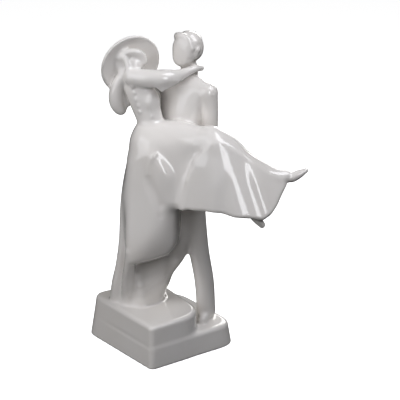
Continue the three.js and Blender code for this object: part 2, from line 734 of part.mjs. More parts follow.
// Thins the skin out. Each step merges the two ends of the edge whose merging bends the surface
// least, measured by the squared distances to the planes of the faces around both ends.
function thin({ points, faces }, wanted) {
  const position = points.map((p) => new THREE.Vector3(...p));
  const planes = points.map(() => new Float64Array(10)); // sums of plane products, ten numbers each
  const around = points.map(() => new Set());
  const stamp = new Uint32Array(points.length);
  const settle = 0.02; // a light pull to the middle of the edge, which decides on flat stretches
  const leastTurn = 0.3; // cosine of the most that a face may turn in one step
  const thinnest = 0.02; // twice the area over the square of the longest side
  const [e1, e2, normal, before] = [0, 1, 2, 3].map(() => new THREE.Vector3());

  const crossOf = (a, b, c, out) => out.crossVectors(e1.subVectors(b, a), e2.subVectors(c, a));
  faces.forEach((face, f) => {
    const [a, b, c] = face.map((n) => position[n]);
    crossOf(a, b, c, normal);
    const area = normal.length();
    normal.divideScalar(area || 1);
    const { x, y, z } = normal;
    const d = -normal.dot(a);
    const products = [x * x, x * y, x * z, x * d, y * y, y * z, y * d, z * z, z * d, d * d];
    face.forEach((n) => {
      products.forEach((product, k) => { planes[n][k] += product * area; });
      around[n].add(f);
    });
  });

  const price = (a, b) => {
    const q = planes[a].map((value, k) => value + planes[b][k]);
    const middle = position[a].clone().lerp(position[b], 0.5);
    const pull = settle * position[a].distanceTo(position[b]);
    const matrix = new THREE.Matrix3().set(
      q[0] + pull, q[1], q[2], q[1], q[4] + pull, q[5], q[2], q[5], q[7] + pull);
    const target = new THREE.Vector3(pull * middle.x - q[3], pull * middle.y - q[6], pull * middle.z - q[8]);
    target.applyMatrix3(matrix.invert());
    const { x, y, z } = target;
    const bend = q[0] * x * x + 2 * q[1] * x * y + 2 * q[2] * x * z + 2 * q[3] * x
      + q[4] * y * y + 2 * q[5] * y * z + 2 * q[6] * y + q[7] * z * z + 2 * q[8] * z + q[9];
    return { a, b, target, cost: bend + pull * target.distanceToSquared(middle), when: stamp[a] + stamp[b] };
  };

  const heap = [];
  const push = (entry) => {
    let i = heap.push(entry) - 1;
    while (i > 0) {
      const parent = (i - 1) >> 1;
      if (heap[parent].cost <= entry.cost) break;
      heap[i] = heap[parent];
      i = parent;
    }
    heap[i] = entry;
  };
  const pop = () => {
    const [first, last] = [heap[0], heap.pop()];
    if (!heap.length) return first;
    let i = 0;
    for (;;) {
      let child = 2 * i + 1;
      if (child >= heap.length) break;
      if (child + 1 < heap.length && heap[child + 1].cost < heap[child].cost) child += 1;
      if (heap[child].cost >= last.cost) break;
      heap[i] = heap[child];
      i = child;
    }
    heap[i] = last;
    return first;
  };

  const neighbours = (n) => {
    const found = new Set();
    around[n].forEach((f) => faces[f].forEach((m) => { if (m !== n) found.add(m); }));
    return found;
  };
  const longestSquare = (a, b, c) => (
    Math.max(a.distanceToSquared(b), b.distanceToSquared(c), c.distanceToSquared(a)));
  const keepsItsSide = (n, other, target) => {
    for (const f of around[n]) {
      const face = faces[f];
      if (face.includes(other)) continue;
      const [a, b, c] = face.map((m) => position[m]);
      crossOf(a, b, c, before);
      const [ta, tb, tc] = face.map((m) => (m === n ? target : position[m]));
      crossOf(ta, tb, tc, normal);
      if (normal.dot(before) < leastTurn * normal.length() * before.length()) return false;
      const shape = normal.length() / longestSquare(ta, tb, tc);
      if (shape < thinnest && shape < before.length() / longestSquare(a, b, c)) return false;
    }
    return true;
  };

  faces.forEach((face) => face.forEach((n, k) => {
    const m = face[(k + 1) % 3];
    if (n < m) push(price(n, m));
  }));
  let left = faces.length;
  while (left > wanted && heap.length) {
    const { a, b, target, when } = pop();
    if (!around[a].size || !around[b].size || when !== stamp[a] + stamp[b]) continue;
    const [nearA, nearB] = [neighbours(a), neighbours(b)];
    if (!nearA.has(b)) continue;
    const shared = [...nearA].filter((n) => nearB.has(n)).length;
    if (shared !== 2 || !keepsItsSide(a, b, target) || !keepsItsSide(b, a, target)) continue;
    position[a].copy(target);
    planes[b].forEach((value, k) => { planes[a][k] += value; });
    for (const f of around[b]) {
      if (faces[f].includes(a)) {
        faces[f].forEach((n) => around[n].delete(f));
        faces[f] = null;
        left -= 1;
      } else {
        faces[f] = faces[f].map((n) => (n === b ? a : n));
        around[a].add(f);
      }
    }
    around[b].clear();
    stamp[a] += 1;
    neighbours(a).forEach((n) => push(price(a, n)));
  }
  return { points: position.map((p) => p.toArray()), faces: faces.filter(Boolean) };
}

// The solid, cut off flat at the floor plane

const wasm = await Module();
wasm.setup();

function solidFrom(positions, triangles) {
  return new wasm.Manifold(new wasm.Mesh({
    numProp: 3,
    vertProperties: Float32Array.from(positions),
    triVerts: Uint32Array.from(triangles),
  }));
}

function floorBlock() {
  const [across, deep] = [400, 40];
  const block = new THREE.BoxGeometry(across, across, deep).translate(0, 0, -deep / 2);
  block.deleteAttribute('normal');
  block.deleteAttribute('uv');
  const merged = mergeVertices(block);
  return solidFrom(merged.attributes.position.array, merged.index.array);
}

function figurineGeometry() {
  const { points, faces } = thin(skin(figure, GRID_PITCH), FACE_COUNT);
  const cut = solidFrom(points.flat(), faces.flat()).subtract(floorBlock()).getMesh();
  const geometry = new THREE.BufferGeometry();
  geometry.setAttribute('position', new THREE.BufferAttribute(cut.vertProperties, 3));
  geometry.setIndex(new THREE.BufferAttribute(cut.triVerts, 1));
  geometry.computeVertexNormals();
  return geometry;
}

const glaze = new THREE.MeshStandardMaterial({ color: 0xf2f0ec, roughness: 0.12, metalness: 0 });
const figurine = new THREE.Mesh(figurineGeometry(), glaze);
figurine.name = 'figurine';

const group = new THREE.Group();
group.add(figurine);

export default group;
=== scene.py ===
"""A glazed porcelain couple on a plinth of two steps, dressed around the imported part.

The figurine is one casting, so it is one fine mesh. Each form is a field: a function that says how
far a point is outside (+) or inside (-) of it, in the part's own frame, in millimetres. Fields flow
into each other as soft clay does, and the skin is where the joined field is zero.

+X is to the right of the front view, +Y away from the viewer and +Z up.
"""
import math
from collections import namedtuple

import bpy
import numpy as np
from mathutils import Matrix, Vector


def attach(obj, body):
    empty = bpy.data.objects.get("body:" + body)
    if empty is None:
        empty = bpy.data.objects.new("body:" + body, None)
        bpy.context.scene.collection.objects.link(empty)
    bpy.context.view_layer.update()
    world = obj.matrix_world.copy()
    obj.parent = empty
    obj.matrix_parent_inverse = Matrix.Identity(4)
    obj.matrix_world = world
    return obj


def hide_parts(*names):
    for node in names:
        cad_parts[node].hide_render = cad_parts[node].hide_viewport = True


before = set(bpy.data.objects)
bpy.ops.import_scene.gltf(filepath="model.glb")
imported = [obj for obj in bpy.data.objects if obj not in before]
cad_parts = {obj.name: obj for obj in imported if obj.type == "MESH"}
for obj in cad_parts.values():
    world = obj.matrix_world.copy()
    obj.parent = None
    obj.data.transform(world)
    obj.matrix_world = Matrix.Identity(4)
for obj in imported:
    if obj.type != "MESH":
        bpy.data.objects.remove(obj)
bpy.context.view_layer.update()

# Main sizes, in millimetres and degrees

MM = 0.001  # one millimetre in metres
CLAY = 6  # usual width of the soft transition between two forms
PITCH = 1.4  # spacing of the samples that find the skin
TINY = 1e-9  # keeps a divisor over zero

PLINTH_LOWER_TOP = 22
PLINTH_UPPER_TOP = 41.5
PLINTH_EDGE_ROUND = 3.4
PLINTH_FOOT_ROUND = 1.2
# Corners: x, y, rounding, and how far the corner leans in at the top of its step
PLINTH_LOWER = [(-6.5, -62, 5, 0.5), (74, -6, 20, 4), (12, 74, 26, 4), (-70, 18.5, 13, 4)]
PLINTH_UPPER = [(-7, -62.5, 5, 1), (43, -27, 27, 2), (-6, 54, 18, 4), (-74, 20, 13, 7.5)]

MAN_TURN = 40  # how far he is turned to the left of the viewer
MAN_HEAD_TURN = 50
FACE_TURN = 36  # the blank front of his face turns less
MAN_HEAD = (26.2, 9, 281)
MAN_NECK = (27.5, 11, 262)
MAN_NECK_FOOT = (26, 11, 248)
MAN_NECK_RADIUS = 7.6
LEFT_SHOULDER = (44, -4, 243.5)
LEFT_ELBOW = (46, -3, 206)
LEFT_HAND = (53, -34, 190)
RIGHT_SHOULDER = (8, 25, 243)
RIGHT_ELBOW = (-12, 31, 222)
RIGHT_HAND = (-17, 4, 229)
SHOULDER_RADIUS = 8.6

WOMAN_TURN = 18  # how far the wide way of her waist is turned, as she faces him
WOMAN_HEAD = (-20.5, -3, 270.5)
WOMAN_NECK_FOOT = (-18, -5, 256)
PELVIS = (-3, -15, 200)
HAT = (-26, 3, 269)  # middle of the brim
CROWN_AXIS = (-0.453, 0.848, 0.277)  # the way the crown of the hat points
BRIM_RADIUS = 28
BRIM_HALF = 1.6
BRIM_CURL = 4
CROWN_RADIUS = 14
CROWN_HEIGHT = 15
CROWN_ROUND = 8
RIBBON_HEIGHT = 6
RIBBON_THICK = 0.9

# Fields

Form = namedtuple("Form", "low high at")


def around(points, margin, at):
    """A form that lies within a margin of some points."""
    points = np.array(points, float)
    return Form(points.min(0) - margin, points.max(0) + margin, at)


def soften(a, b, width):
    """Soft union: both fields where they are far apart, one flowing surface where they are near."""
    near = np.maximum(width - np.abs(a - b), 0) / width
    return np.minimum(a, b) - near * near * width / 4


def length(vectors):
    return np.sqrt(np.einsum("...i,...i->...", vectors, vectors))


def unit(vector):
    """The same direction, one long."""
    vector = np.array(vector, float)
    return vector / np.linalg.norm(vector)


def eased(share):
    """A smooth rise from 0 to 1."""
    return share * share * (3 - 2 * share)


PATH_STEPS = 6  # straight runs between two points of a smooth path


def smooth_path(points):
    """Points and radii along a centripetal Catmull-Rom curve through [x, y, z, radius] rows."""
    rows = np.array(points, float)
    places, radii = rows[:, :3], rows[:, 3]
    ends = [2 * places[0] - places[1], *places, 2 * places[-1] - places[-2]]
    round_ends = [radii[0], *radii, radii[-1]]
    path = []
    for i in range(len(rows) - 1):
        p0, p1, p2, p3 = ends[i:i + 4]
        d0, d1, d2 = (math.sqrt(np.linalg.norm(b - a)) for a, b in ((p0, p1), (p1, p2), (p2, p3)))
        leave = ((p1 - p0) / d0 - (p2 - p0) / (d0 + d1) + (p2 - p1) / d1) * d1
        arrive = ((p2 - p1) / d1 - (p3 - p1) / (d1 + d2) + (p3 - p2) / d2) * d1
        r0, r1, r2, r3 = round_ends[i:i + 4]
        last = i == len(rows) - 2
        for t in np.linspace(0, 1, PATH_STEPS + 1)[:PATH_STEPS + last]:
            h = (2 * t**3 - 3 * t**2 + 1, t**3 - 2 * t**2 + t, 3 * t**2 - 2 * t**3, t**3 - t**2)
            place = h[0] * p1 + h[1] * leave + h[2] * p2 + h[3] * arrive
            radius = h[0] * r1 + h[1] * (r2 - r0) / 2 + h[2] * r2 + h[3] * (r3 - r1) / 2
            path.append((place, radius))
    return path


def from_run(p, start, end):
    """How far some points are from a straight run, and how far along it the nearest places are."""
    along = end - start
    from_start = p - start
    t = np.clip(from_start @ along / (along @ along), 0, 1)
    return length(from_start - t[:, None] * along), t


def limb(points):
    """A smooth rod through some points, each given as (x, y, z, radius)."""
    path = smooth_path(points)

    def at(p):
        best = np.full(len(p), np.inf)
        for (a, radius_a), (b, radius_b) in zip(path, path[1:]):
            far, t = from_run(p, a, b)
            best = np.minimum(best, far - radius_a - t * (radius_b - radius_a))
        return best

    return around([place for place, _ in path], max(r for _, r in path) + 1, at)


def turned(turn, nod=0, lean=0):
    """Axes of a body that is turned about the vertical, then nods forward, then leans sideways."""
    pose = Matrix.Rotation(-math.radians(turn), 3, "Z") @ Matrix.Rotation(math.radians(nod), 3, "X")
    return np.array(pose @ Matrix.Rotation(math.radians(lean), 3, "Y"))


def egg(centre, halves, turn=0, nod=0, lean=0):
    """An egg with three half sizes: to its side, forward and up."""
    axes, halves = turned(turn, nod, lean), np.array(halves, float)

    def at(p):
        scaled = (p - np.array(centre, float)) @ axes / halves
        reach, slope = length(scaled), length(scaled / halves) + TINY
        return reach * (reach - 1) / slope

    return around([centre], halves.max(), at)


def sheet(*corners):
    """A sheet of clay between three corners, each given as (x, y, z, half thickness)."""
    rows = np.array(corners, float)
    places, halves = rows[:, :3], rows[:, 3]
    to_second, to_third = places[1] - places[0], places[2] - places[0]
    normal = unit(np.cross(to_second, to_third))
    across = np.linalg.pinv(np.stack([to_second, to_third]))

    def at(p):
        weights = (p - places[0]) @ across
        inside = (weights.min(1) >= 0) & (weights.sum(1) <= 1)
        half = halves[0] + weights @ (halves[1:] - halves[0])
        best = np.where(inside, np.abs((p - places[0]) @ normal) - half, np.inf)
        for i, j in ((0, 1), (1, 2), (2, 0)):
            far, t = from_run(p, places[i], places[j])
            best = np.minimum(best, far - halves[i] - t * (halves[j] - halves[i]))
        return best

    return around(places, halves.max(), at)


PLEAT_START_WIDTH = 0.6  # of its full width
PLEAT_GROWTH = 0.6  # share of its length in which it reaches its full height


def pleat_rise(p, start, end, height, width):
    """How far a pleat stands out. It runs from start to end, in x and z, and fades to its sides."""
    far, t = from_run(p[:, [0, 2]], np.array(start, float), np.array(end, float))
    far /= width * (PLEAT_START_WIDTH + (1 - PLEAT_START_WIDTH) * t)
    return height * eased(np.minimum(t / PLEAT_GROWTH, 1)) * np.exp(-far * far)


def front_of(planes, pleats, soft):
    """How far some points are in front of a hanging cloth, which lies behind each of its planes. A
    plane is given by three points, and a pleat as (start, end, height, width)."""
    sides = []
    for a, b, c in np.array(planes, float):
        normal = unit(np.cross(b - a, c - a))
        sides.append((normal * -np.sign(normal[1]), a))

    def level(p):
        total = np.full(len(p), -np.inf)
        for normal, a in sides:
            total = -soften(-total, -(p - a) @ normal, soft)
        for pleat in pleats:
            total -= pleat_rise(p, *pleat)
        return total

    return level


def drape(outline, planes, thick, soft, rounding, pleats=()):
    """A hanging cloth. Its outline is seen from the front, as rows of x, z and rounding. Soft is
    how gently its planes meet, and rounding that of its edge."""
    edge = rounded_outline(outline, steps=5)
    front = front_of(planes, pleats, soft)

    def at(p):
        side = outline_distance(edge, p[:, [0, 2]])
        face = np.abs(front(p) + thick / 2) - thick / 2
        return rounded_corner(side, face, rounding)

    depths = np.array(planes, float)[..., 1]
    tallest_pleat = 4
    ends = depths.min() - tallest_pleat, depths.max() + thick
    return around([(x, y, z) for x, z, _ in outline for y in ends], 1, at)


def section_at(sections, slopes, z):
    """The smooth row [z, x, y, half width, half depth] of a stack at each height."""
    heights = sections[:, 0]
    z = np.clip(z, heights[0], heights[-1])
    i = np.clip(np.searchsorted(heights, z, "right") - 1, 0, len(heights) - 2)
    span = (heights[i + 1] - heights[i])[:, None]
    t = (z - heights[i])[:, None] / span
    level = sections[i] + (sections[i + 1] - sections[i]) * eased(t)
    return level + span * (t * (1 - t) ** 2 * slopes[i] - t * t * (1 - t) * slopes[i + 1])


def stack(rows, turn, cap):
    """A body of round sections one over another, each (z, x, y, half width, half depth). The cap is
    how far its ends are rounded."""
    sections = np.array(rows, float)
    over, under = np.vstack([sections[1:], sections[-1:]]), np.vstack([sections[:1], sections[:-1]])
    slopes = (over - under) / (over - under)[:, :1]
    sin, cos = math.sin(math.radians(turn)), math.cos(math.radians(turn))

    def at(p):
        _, cx, cy, width, depth = section_at(sections, slopes, p[:, 2]).T
        dx, dy = p[:, 0] - cx, p[:, 1] - cy
        u, v = (dx * cos - dy * sin) / width, (dx * sin + dy * cos) / depth
        reach, slope = np.hypot(u, v), np.hypot(u / width, v / depth) + TINY
        side = reach * (reach - 1) / slope
        end = np.maximum(sections[0, 0] - p[:, 2], p[:, 2] - sections[-1, 0])
        return rounded_corner(side, end, cap)

    corners = [(x + s * max(w, d), y + s * max(w, d), z) for z, x, y, w, d in rows for s in (-1, 1)]
    return around(corners, 1, at)


def rounded_outline(corners, steps=9):
    """An outline with rounded corners, each (x, y, rounding), as short straight runs."""
    points = []
    for i, (x, y, rounding) in enumerate(corners):
        here = np.array((x, y), float)
        back = unit(corners[i - 1][:2] - here)
        on = unit(corners[(i + 1) % len(corners)][:2] - here)
        reach = rounding / math.tan(math.acos(back @ on) / 2)
        for t in np.linspace(0, 1, steps):
            points.append(here + back * reach * (1 - t) ** 2 + on * reach * t**2)
    return np.array(points)


SHORTEST_RUN = 1e-6  # anything under it joins two points that fall together


def outline_distance(points, p):
    """How far some points are from a closed outline, less than 0 inside it."""
    best, inside = np.full(len(p), np.inf), np.zeros(len(p), bool)
    for a, b in zip(np.roll(points, 1, 0), points):
        if length(b - a) < SHORTEST_RUN:
            continue
        best = np.minimum(best, from_run(p, a, b)[0])
        if a[1] != b[1]:
            crosses = (a[1] > p[:, 1]) != (b[1] > p[:, 1])
            inside ^= crosses & (p[:, 0] < a[0] + (p[:, 1] - a[1]) * (b[0] - a[0]) / (b[1] - a[1]))
    return np.where(inside, -best, best)


def step(corners, top):
    """One step of the plinth. Its outline shrinks a little towards the top."""
    foot = rounded_outline([c[:3] for c in corners])
    rim = []
    for x, y, rounding, lean in corners:
        shrink = 1 - lean / math.hypot(x, y)
        rim.append((x * shrink, y * shrink, rounding))
    rim = rounded_outline(rim)

    def at(p):
        rise = np.clip(p[:, 2] / top, 0, 1)
        low, high = outline_distance(foot, p[:, :2]), outline_distance(rim, p[:, :2])
        side = low + (high - low) * rise
        return rounded_corner(side, p[:, 2] - top, PLINTH_EDGE_ROUND)

    return around([(x, y, z) for x, y, *_ in corners for z in (0, top)], 0, at)


def rounded_corner(a, b, rounding):
    """Where two fields meet at an edge, rounded off."""
    a, b = a + rounding, b + rounding
    return np.minimum(np.maximum(a, b), 0) + np.hypot(np.maximum(a, 0), np.maximum(b, 0)) - rounding


def behind(form, point, direction, rounding):
    """The part of a form on the back side of a plane."""
    ahead = unit(direction)

    def at(p):
        return rounded_corner(form.at(p), (p - np.array(point)) @ ahead, rounding)

    return Form(form.low, form.high, at)


def disc(centre, direction, reach, radius, rounding, curl=0):
    """A round plate across an axis, between two heights along it. Curl bends its rim back."""
    axis = unit(direction)
    middle, half = (reach[0] + reach[1]) / 2, (reach[1] - reach[0]) / 2

    def at(p):
        from_centre = p - np.array(centre, float)
        height = from_centre @ axis
        out = length(from_centre - height[:, None] * axis)
        level = np.abs(height - middle + curl * (out / radius) ** 2) - half
        return rounded_corner(level, out - radius, rounding)

    return around([centre], radius + max(map(abs, reach)), at)


def within(form, margin, p):
    """Which of some points are in a form's box, or less than a margin from it."""
    return np.flatnonzero(np.all((p > form.low - margin) & (p < form.high + margin), axis=1))


JOIN_REACH = 12  # a form doesn't shape what is further than this from its box


def join(*entries):
    """Joins forms one after another. Each entry is a form, or a form with its own transition."""
    parts = [entry if isinstance(entry[0], Form) else (entry, CLAY) for entry in entries]

    def at(p):
        total = np.full(len(p), 2.0 * JOIN_REACH)
        for form, width in parts:
            chosen = within(form, JOIN_REACH, p)
            if len(chosen):
                total[chosen] = soften(total[chosen], form.at(p[chosen]), width)
        return total

    low = np.min([form.low for form, _ in parts], 0)
    return Form(low, np.max([form.high for form, _ in parts], 0), at)


def stroked(form, *strokes):
    """Strokes press a groove (depth over 0) or raise a ridge (depth under 0) along a line. Each
    stroke is (points, width, depth)."""
    lines = [(limb([(*point, 0) for point in points]), width, depth)
             for points, width, depth in strokes]

    def at(p):
        total = form.at(p)
        for path, width, depth in lines:
            chosen = within(path, 3 * width, p)
            if len(chosen):
                far = path.at(p[chosen]) / width
                total[chosen] += depth * np.exp(-far * far)
        return total

    return Form(form.low, form.high, at)


def offset(point, turn, side, forward, up):
    """The point beside, in front of and above another, for a body that is turned."""
    sin, cos = math.sin(math.radians(turn)), math.cos(math.radians(turn))
    x, y, z = point
    return (x + side * cos - forward * sin, y - side * sin - forward * cos, z + up)


# The plinth

def plinth():
    """Both steps, with a faint seam where they meet on the left, cut flat below."""
    lower = step(PLINTH_LOWER, PLINTH_LOWER_TOP)
    upper = step(PLINTH_UPPER, PLINTH_UPPER_TOP)
    seam = [(-8, -61.5, 21), (-38.6, -21.5, 21), (-71, 14, 21)]
    steps = stroked(join(lower, (upper, 3)), (seam, 1.4, 0.4))
    underside, down = (0, 0, 0), (0, 0, -1)
    return behind(steps, underside, down, PLINTH_FOOT_ROUND)


# The man

def jacket_folds():
    """Shallow folds over his chest: points, width and depth."""
    return [([(12, -10, 234), (17, -11, 240), (21.5, -12, 246)], 1.8, 0.9),
            ([(17, -11, 232), (22, -12, 238)], 1.8, 0.7)]


def on_his_head(side, forward, up):
    return offset(MAN_HEAD, MAN_HEAD_TURN, side, forward, up)


def head_egg(place, halves):
    return egg(on_his_head(*place), halves, MAN_HEAD_TURN)


def man_face():
    """A smooth blank face, flat in front, with a rounded edge."""
    head = join(
        head_egg((0, 1.2, 1.5), (10.3, 12.4, 12.4)),
        (head_egg((0, 3.4, -4), (9.6, 10.4, 11.6)), 6),
        (head_egg((-1.5, 7, -9.6), (6.4, 6, 5.4)), 5),
    )
    facing = np.array(offset(MAN_HEAD, FACE_TURN, 0, 1, 0)) - np.array(MAN_HEAD)
    return behind(head, offset(MAN_HEAD, FACE_TURN, 0, 11.2, -3), facing, 3)


def combed():
    """Shallow grooves in his hair, from the hairline to the back of his head."""
    grooves = []
    for side in (-6, -2, 2, 6):
        places = [(side, 9, 13), (1.3 * side, 0, 16), (1.2 * side, -9, 12), (side, -14, 3)]
        grooves.append(([on_his_head(*place) for place in places], 1.4, 0.6))
    return grooves


def man_hair():
    """A combed cap, a rolled hairline and curls on his left side, each with its transition."""
    cap = join(
        head_egg((0, -1.5, 2.6), (11.4, 13.2, 12.6)),
        (head_egg((0, -5, -3), (9.8, 9, 9.5)), 4),
    )
    ahead = np.array(on_his_head(0, 1, -0.25)) - np.array(MAN_HEAD)
    hairline = [(-9, 4.5, 6), (-7, 7, 10.4), (-3, 8.2, 12.2), (2.5, 7.4, 12), (6.6, 6, 9.6),
                (9.2, 4.6, 5.5), (10.3, 3.4, 1.5)]
    curls = [(29.5, 7, 291.4), (33, 3.4, 287), (34.8, 1.6, 280.6), (33.6, 3.6, 274.6)]
    return [
        (stroked(behind(cap, on_his_head(0, 3, 0), ahead, 0.8), *combed()), 0.8),
        (limb([(*on_his_head(*place), 2.3) for place in hairline]), 2),
        *[(egg(curl, (2.2, 2.2, 2.2)), 2.5) for curl in curls],
    ]


def man_head():
    ears = [(head_egg((side, -0.8, -2.6), (1.7, 2.6, 3.8)), 1.2) for side in (10.6, -10.6)]
    neck = limb([(*MAN_NECK, MAN_NECK_RADIUS), (*MAN_NECK_FOOT, MAN_NECK_RADIUS + 1.5)])
    return join(man_face(), *man_hair(), *ears, (neck, 4))


def man_torso():
    trunk = [
        (158, 17, 6, 22, 15),
        (176, 17, 6, 23, 16),
        (200, 18, 6, 19.5, 14),
        (226, 21, 7, 22, 15.5),
        (242, 23, 9, 23, 14.5),
        (255, 25, 10.5, 15, 10),
    ]
    shoulders = [(*LEFT_SHOULDER, 8), (*MAN_NECK_FOOT, 9), (*RIGHT_SHOULDER, 8)]
    body = join(stack(trunk, MAN_TURN, cap=7), (limb(shoulders), 8))
    return stroked(body, *jacket_folds())


def man_legs():
    left = [(26, 1, 170, 13.5), (31, 1, 131, 11), (36, 1, 92, 9.3), (41, 3, 60, 9),
            (42.7, 4, 30, 8.8)]
    right = [(12, 8, 168, 13), (16, 3, 130, 11.5), (17, 1, 98, 10.5), (1, 7, 68, 9.5),
             (-12, 12, 44, 9)]
    left_shoe = [(45, 11, 26.5, 5.6), (42.6, 3, 27, 6.6), (39.5, -8, 25, 4)]
    right_shoe = [(-7, 20, 46.5, 5), (-13, 10, 47, 6), (-20, 2, 45, 4)]
    return join(limb(left), (limb(right), 5), (limb(left_shoe), 1.6), (limb(right_shoe), 1.6))


def man_arms():
    left = [(*LEFT_SHOULDER, SHOULDER_RADIUS), (45.5, -4, 226, 7.6), (*LEFT_ELBOW, 7.2),
            (49.5, -20, 196, 6.4), (*LEFT_HAND, 5)]
    right = [(*RIGHT_SHOULDER, SHOULDER_RADIUS), (*RIGHT_ELBOW, 7), (-16, 18, 225, 6.2),
             (*RIGHT_HAND, 4.6)]
    right_palm = egg((-17, -4, 230), (3.6, 8, 5.4), lean=18)
    return join(limb(left), (limb(right), 4), (right_palm, 3))


def man():
    return join(man_torso(), (man_legs(), 6), (man_arms(), 2.2), (man_head(), 4))


# The woman

def hat():
    brim = disc(HAT, CROWN_AXIS, (-BRIM_HALF, BRIM_HALF), BRIM_RADIUS, BRIM_HALF, BRIM_CURL)
    crown = disc(HAT, CROWN_AXIS, (-2, CROWN_HEIGHT), CROWN_RADIUS, CROWN_ROUND)
    ribbon = disc(HAT, CROWN_AXIS, (-1, RIBBON_HEIGHT), CROWN_RADIUS + RIBBON_THICK, 1)
    return join(brim, (crown, 2.5), (ribbon, 1))


def woman_head():
    scalp = np.add(HAT, CROWN_AXIS)
    neck = [(-19.5, -3, 264, 5.2), (*WOMAN_NECK_FOOT, 5.8)]
    nape = [(-31, -4, 275, 5.5), (-31, -5, 266, 5), (-28, -7, 257, 5)]
    band = [(-31.5, -6, 275.5), (-28.5, -8, 279), (-23.7, -9.5, 281.3), (-17.5, -9.5, 281),
            (-13, -8, 277.5), (-11.4, -7, 272.5)]
    strand = [(-33, -7, 275.5), (-28.6, -10.5, 275.8), (-26.6, -12, 271), (-25.8, -13, 266.5),
              (-27, -12, 261)]
    return join(
        egg(WOMAN_HEAD, (9.2, 9, 10.4), -30, -10, 24),
        (limb(neck), 4),
        (egg(scalp, (12.6, 11.5, 9.6), -30), 3),
        (hat(), 2),
        (limb(nape), 4),
        (limb([(*point, 2.8) for point in band]), 4),
        (limb([(*point, 2) for point in strand]), 2.5),
        (hair_lock(), 2),
    )


def hair_lock():
    """Loose hair that falls behind her shoulder, with a rolled outer edge."""
    edge = [(-29, -7, 263, 4), (-35, -7, 252, 5.4), (-37.4, -6, 241, 6.2), (-36.4, -5, 232.5, 5.8),
            (-33, -3.5, 227.4, 4.4), (-30, -1, 230, 2.8)]
    inner = [(-27, -2, 260, 3.6), (-37, -1, 246, 3.6), (-33, -1, 231, 3.6), (-20, 0, 237, 3.6)]
    return join(limb(edge), (sheet(*inner[:3]), 3), (sheet(inner[0], inner[2], inner[3]), 1))


def lacing():
    """A row of small beads down the back of her dress."""
    top, foot = (-21.6, -16.5, 252), (-15.5, -18.5, 230)
    return [egg(place, (1.5, 1.5, 2)) for place in np.linspace(top, foot, 5)]


def bodice_ridges():
    """Soft ridges down the front of her bodice: points, width and depth."""
    return [([(-5.6, -20, 246), (-6.5, -21, 236), (-5, -21, 226)], 2.2, -1.1),
            ([(3, -18, 243), (2.5, -19, 234), (2, -21, 225)], 2.2, -1.1)]


def woman_torso():
    trunk = [
        (206, -5, -14, 14, 13),
        (216, -6, -11, 12, 11.5),
        (229, -10, -9, 13, 11),
        (241, -13.5, -8, 14.5, 11.5),
        (252, -17.5, -7, 13.5, 9.5),
        (260, -19.5, -6, 8, 6.5),
    ]
    bust = [egg(place, (6.5, 6.5, 7)) for place in ((-6, -13, 239), (-4.5, -2, 239))]
    body = join(
        stack(trunk, WOMAN_TURN, cap=5),
        *[(side, 5) for side in bust],
        *[(bead, 1.5) for bead in lacing()],
    )
    return stroked(body, *bodice_ridges())


def woman_arms():
    near = [(-21.5, -12, 259.5, 7.8), (-8, -17, 259.5, 8), (8, -17, 260, 7.4), (18, -11, 260.5, 5.4),
            (26, -5, 262.6, 3.9), (34, 1, 264.4, 3.2), (38, 4, 263.8, 2.6)]
    far = [(-17, 5, 252, 7), (-4, 14, 248, 6.6), (8, 22, 247, 6), (20, 25, 250, 5), (30, 19, 254, 4)]
    droop = sheet((0, -21, 256, 3), (4, -21, 250.5, 2), (16, -16, 258, 3))
    return join(limb(near), (limb(far), 2), (droop, 3))


def woman():
    return join(woman_torso(), (woman_arms(), 2.5), (woman_head(), 2.5))


# The gown

# Height, x, y, half width and half depth
GOWN_SECTIONS = [
    (36, -20.5, 10, 24, 25),
    (46, -20, 9, 24, 23.5),
    (60, -15.5, 6, 25, 19.5),
    (78, -12.5, 3, 25.5, 17),
    (96, -11, -1, 25.5, 16),
    (112, -9.5, -6, 26, 16.5),
    (150, -6.5, -13, 26.5, 19),
    (180, 0, -17, 27, 21),
    (205, -3, -17, 20.5, 17),
    (218, -6, -11.5, 12, 11),
]


def back_folds():
    """Folds that fan out from her hip to the hem, on the side away from the front view."""
    heights, *columns = np.array(GOWN_SECTIONS, float).T
    folds = []
    for angle in np.radians(np.linspace(10, 165, 6)):
        points = []
        for z in np.linspace(178, 44, 4):
            x, y, width, depth = (np.interp(z, heights, column) for column in columns)
            points.append((x + width * math.cos(angle), y + depth * math.sin(angle), z))
        folds.append((points, 4.5, 2.6))
    return folds


def gown_trunk():
    return stroked(stack(GOWN_SECTIONS, 0, cap=4), *back_folds())


def hip():
    return egg((11, -17, 182), (25, 17.5, 38), lean=14)


def tongue():
    """The long fold that hangs in front. Its front is lit, and it turns under to the right."""
    outline = [(-8, 205, 10), (-26, 190, 14), (-29.5, 150, 25), (-30.5, 112, 20), (-28.5, 90, 5),
               (-6, 94, 12), (10, 99, 10), (17.5, 110, 10), (19.5, 143, 8), (14, 178, 10)]
    lit = [(-29, -37, 130), (1.7, -43.5, 152), (-22, -41, 98)]
    side = [(-13.5, -42.5, 163), (-24.5, -42, 103), (-31, -33, 130)]
    under = [(1, -44.7, 136), (-0.5, -44.7, 122), (18.3, -33, 128)]
    below = [(-4, -43.9, 115), (-25.5, -40.2, 97), (-4, -34, 93)]
    return drape(outline, [lit, side, under, below], thick=30, soft=7, rounding=6)


def gown_train():
    """Two long folds that sweep down on the left. The front one runs on from the tongue's tip."""
    rear = [(-21, -12, 190, 5), (-27, -12, 164, 5), (-30.5, -12, 138, 4.6), (-32.5, -10, 108, 4.6),
            (-35.5, -6, 80, 5.6), (-38.5, -2, 60, 7), (-40, 3, 40, 8)]
    front = [(-26, -33, 104, 4), (-27, -27, 88, 5), (-28.5, -19, 74, 6), (-29.5, -12, 58, 6.5),
             (-30, -6, 44, 6.5)]
    return join(limb(rear), (limb(front), 4))


